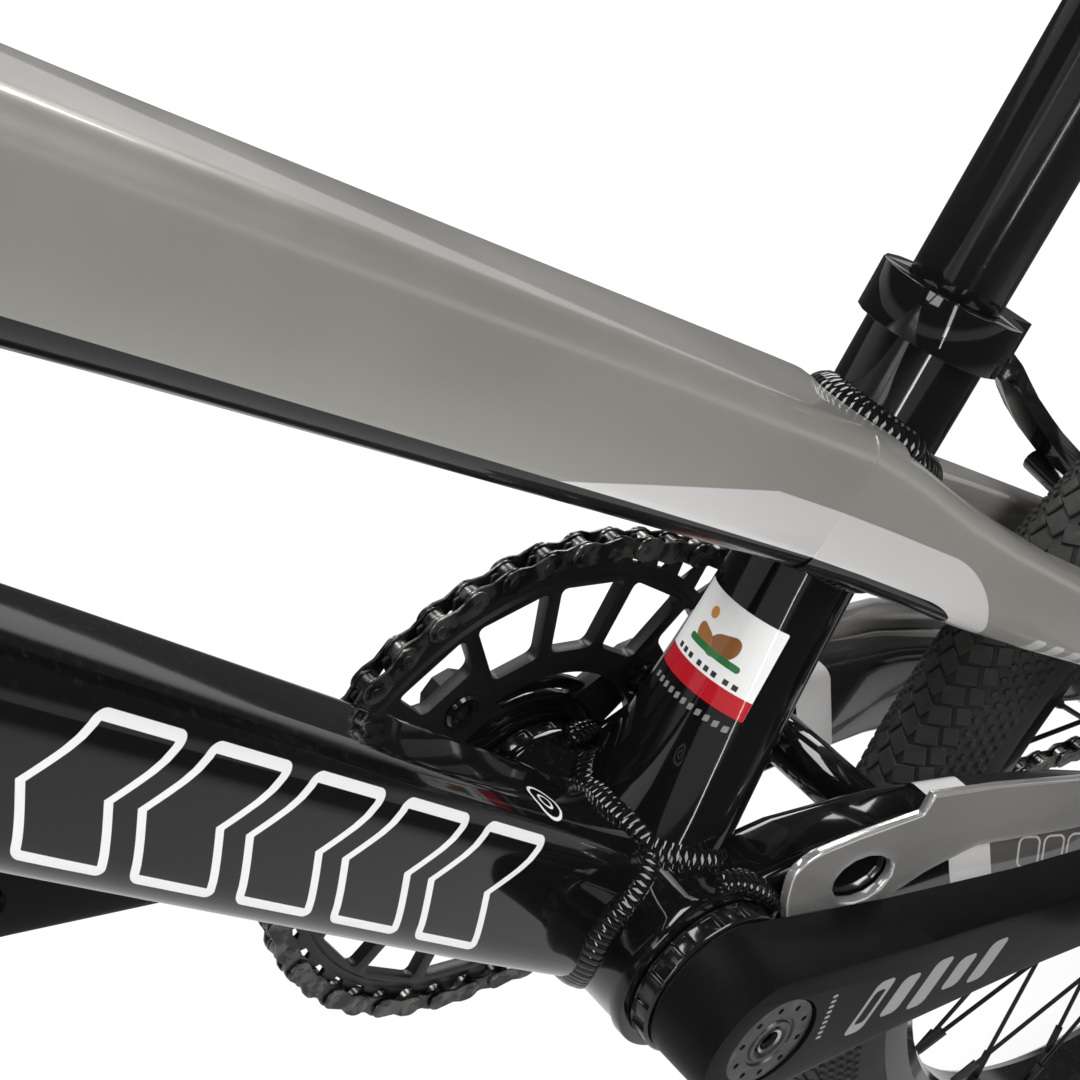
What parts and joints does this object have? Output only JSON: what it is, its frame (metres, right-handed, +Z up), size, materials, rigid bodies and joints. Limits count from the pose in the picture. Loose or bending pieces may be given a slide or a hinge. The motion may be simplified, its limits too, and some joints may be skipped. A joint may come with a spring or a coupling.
{
  "type": "bmx bike",
  "caption": "Small-wheeled race bicycle with a chain drive, platform pedals, a rear rim brake, a raised handlebar and a low saddle.",
  "frame": {"origin": "centre of the bottom bracket, on the bike's middle plane", "axes": "+X forwards, +Y to the rider's left, +Z up; the chain is on the right, at -Y; the cranks lie level with the left one pointing back"},
  "size_m": [1.4538, 0.7346, 0.9253],
  "materials": {
    "gloss_black_paint": "deep gloss black paint under clear lacquer",
    "warm_grey_paint": "warm metallic grey paint, satin gloss",
    "matte_black_alloy": "matte black anodised alloy",
    "gunmetal": "dark grey anodised alloy",
    "chain_steel": "black coated steel",
    "polished_alloy": "machined and polished bare alloy",
    "steel": "bare turned steel",
    "gloss_black_alloy": "gloss black anodised alloy",
    "tyre_rubber": "matte black rubber",
    "grip_rubber": "matte black rubber",
    "black_plastic": "matte black moulded plastic"
  },
  "bodies": {
    "frame": {"bb_shell": "gloss_black_paint", "left_bb_cup": "matte_black_alloy", "right_bb_cup": "matte_black_alloy", "head_tube": "gloss_black_paint", "seat_tube": "gloss_black_paint", "down_tube": "gloss_black_paint", "top_tube": "warm_grey_paint", "left_chainstay": "gloss_black_paint", "left_seatstay": "warm_grey_paint", "right_chainstay": "gloss_black_paint", "right_seatstay": "warm_grey_paint", "left_dropout": "polished_alloy", "right_dropout": "polished_alloy", "chainstay_bridge": "gloss_black_paint", "seatstay_bridge": "warm_grey_paint", "seat_clamp": "gloss_black_paint", "lower_headset_cup": "matte_black_alloy", "upper_headset_cup": "matte_black_alloy", "rear_axle": "steel", "chain": "chain_steel"},
    "seatpost": {"seatpost": "gloss_black_paint", "saddle": "black_plastic", "saddle_bolt": "steel"},
    "steering": {"fork_steerer": "gloss_black_paint", "left_fork_leg": "gloss_black_paint", "right_fork_leg": "gloss_black_paint", "stem": "gloss_black_paint", "stem_faceplate": "gloss_black_paint", "headset_top_cap": "matte_black_alloy", "handlebar": "gloss_black_paint", "handlebar_crossbar": "gloss_black_paint", "left_grip": "grip_rubber", "right_grip": "grip_rubber", "front_axle": "steel", "lever_clamp": "matte_black_alloy"},
    "brake_lever": {"brake_lever": "matte_black_alloy"},
    "front_wheel": {"front_tyre": "tyre_rubber", "front_rim": "gloss_black_alloy", "front_hub": "gloss_black_alloy"},
    "rear_wheel": {"rear_tyre": "tyre_rubber", "rear_rim": "gloss_black_alloy", "rear_hub": "gloss_black_alloy"},
    "cog": {"rear_cog": "steel"},
    "crank": {"crank_spindle": "steel", "spindle_cap": "gunmetal", "left_crank": "matte_black_alloy", "right_crank": "matte_black_alloy", "chainring": "matte_black_alloy", "left_pedal_axle": "steel", "right_pedal_axle": "steel"},
    "left_pedal": {"left_pedal": "black_plastic"},
    "right_pedal": {"right_pedal": "black_plastic"},
    "left_brake_arm": {"left_brake_arm": "matte_black_alloy"},
    "right_brake_arm": {"right_brake_arm": "matte_black_alloy"}
  },
  "joints": [
    {"name": "steering", "type": "hinge", "parent": "frame", "child": "steering", "pos_m": [0.48145, 0, 0.2614], "axis": [-0.2756, 0, 0.9613], "range_deg": [-80, 80]},
    {"name": "front_wheel_spin", "type": "hinge", "parent": "steering", "child": "front_wheel", "pos_m": [0.60317, 0, -0.047], "axis": [0, 1, 0], "continuous": true},
    {"name": "rear_wheel_spin", "type": "hinge", "parent": "frame", "child": "rear_wheel", "pos_m": [-0.36146, 0, -0.047], "axis": [0, 1, 0], "continuous": true},
    {"name": "crank_spin", "type": "hinge", "parent": "frame", "child": "crank", "pos_m": [0, 0, 0], "axis": [0, 1, 0], "continuous": true},
    {"name": "cog_spin", "type": "hinge", "parent": "frame", "child": "cog", "pos_m": [-0.36146, 0, -0.047], "axis": [0, 1, 0], "continuous": true},
    {"name": "left_pedal_spin", "type": "hinge", "parent": "crank", "child": "left_pedal", "pos_m": [-0.175, 0, 0], "axis": [0, 1, 0], "continuous": true},
    {"name": "right_pedal_spin", "type": "hinge", "parent": "crank", "child": "right_pedal", "pos_m": [0.175, 0, 0], "axis": [0, 1, 0], "continuous": true},
    {"name": "seat_height", "type": "slide", "parent": "frame", "child": "seatpost", "axis": [-0.2924, 0, 0.9563], "range_m": [-0.02, 0.05]},
    {"name": "brake_lever_pull", "type": "hinge", "parent": "steering", "child": "brake_lever", "pos_m": [0.45371, -0.21442, 0.59809], "axis": [-0.6075, 0.1622, -0.7776], "range_deg": [0, 18], "stiffness_Nm_per_rad": 0.8, "springref_deg": -8.59},
    {"name": "left_brake_arm_swing", "type": "hinge", "parent": "frame", "child": "left_brake_arm", "pos_m": [-0.24096, 0.04, 0.0704], "axis": [0.6049, 0, -0.7963], "range_deg": [0, 2.25]},
    {"name": "right_brake_arm_swing", "type": "hinge", "parent": "frame", "child": "right_brake_arm", "pos_m": [-0.24096, -0.04, 0.0704], "axis": [-0.6049, 0, 0.7963], "range_deg": [0, 2.25]}
  ],
  "couplings": [
    {"joint": "cog_spin", "follows": "crank_spin", "ratio": 2.75},
    {"joint": "left_brake_arm_swing", "follows": "brake_lever_pull", "ratio": 0.122},
    {"joint": "right_brake_arm_swing", "follows": "brake_lever_pull", "ratio": 0.122}
  ]
}
